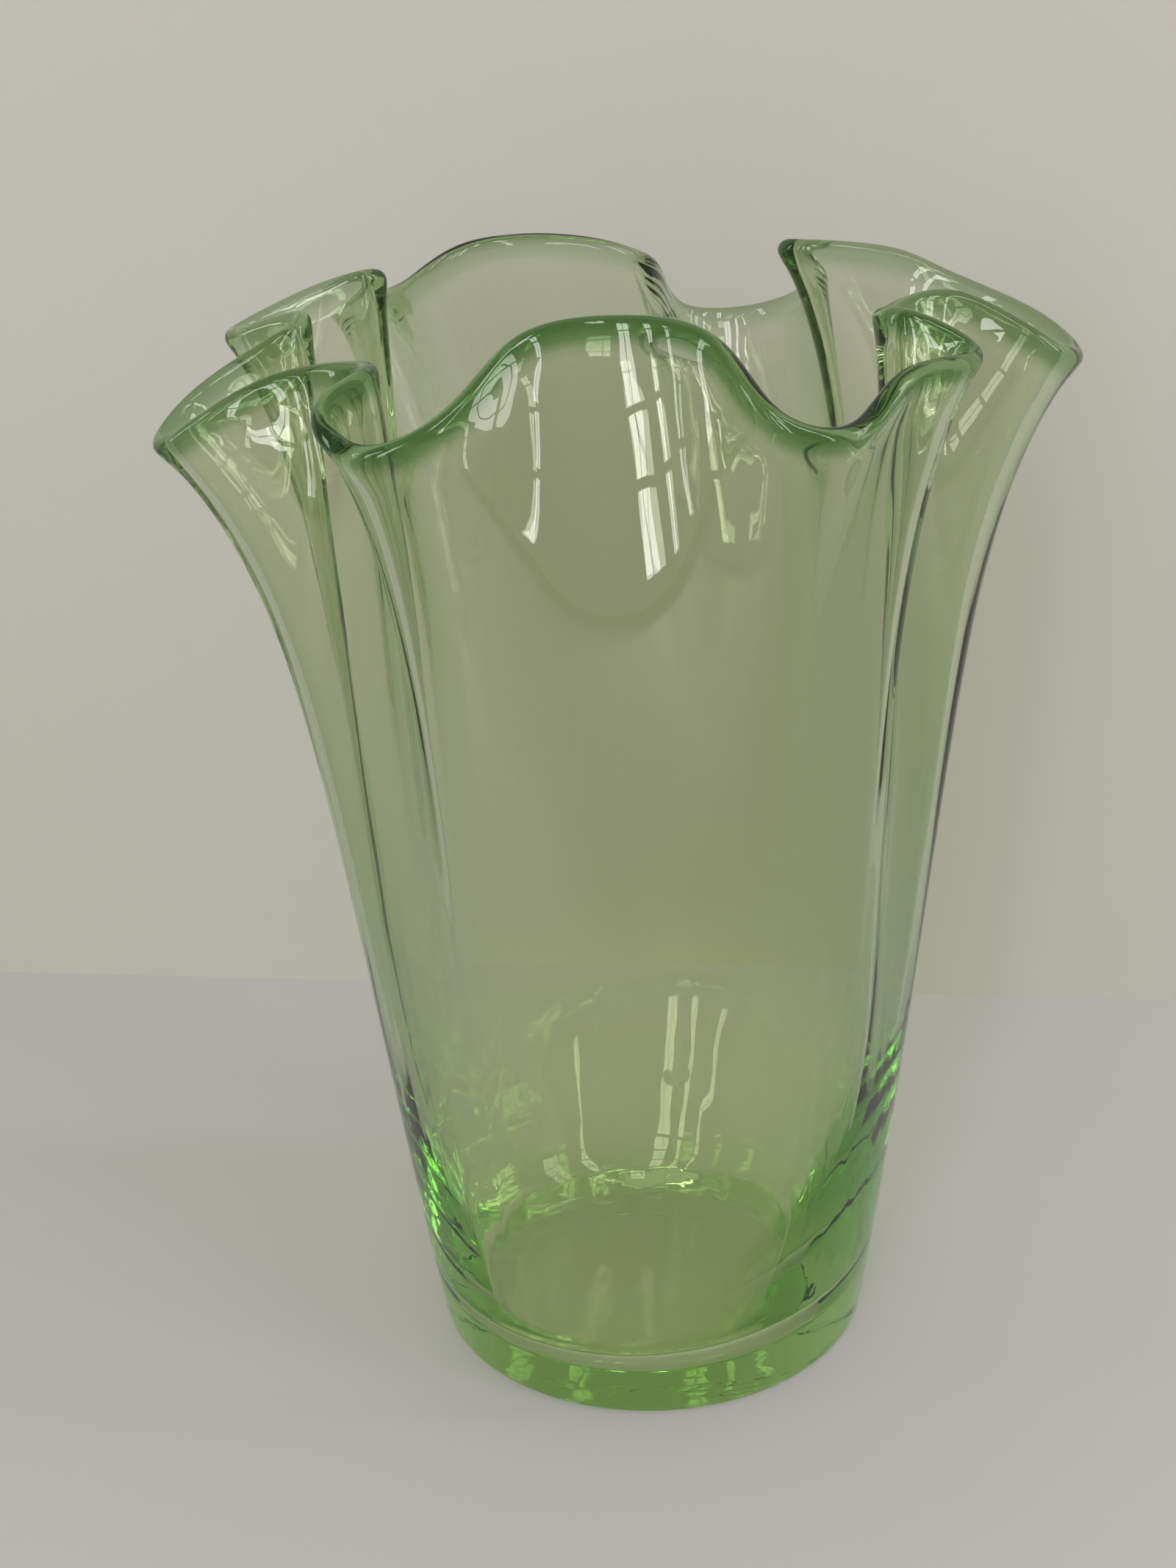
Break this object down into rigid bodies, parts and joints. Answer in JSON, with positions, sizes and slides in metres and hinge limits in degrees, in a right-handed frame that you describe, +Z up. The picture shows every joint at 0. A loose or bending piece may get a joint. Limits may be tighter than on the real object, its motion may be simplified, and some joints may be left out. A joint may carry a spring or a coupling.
{
  "type": "handkerchief vase",
  "caption": "Blown green glass vase with a thick round foot, a slowly widening body and a tall ruffled rim folded like a hanging cloth.",
  "frame": {"origin": "centre of the flat underside of the foot", "axes": "+Z up along the vase's axis, front of the vase towards -Y, +X to the right as seen from the front"},
  "size_m": [0.1974, 0.1533, 0.2554],
  "materials": {
    "green_glass": "clear, coloured green through its whole thickness, fire-polished"
  },
  "bodies": {
    "root": {"vase": "green_glass"}
  },
  "joints": []
}
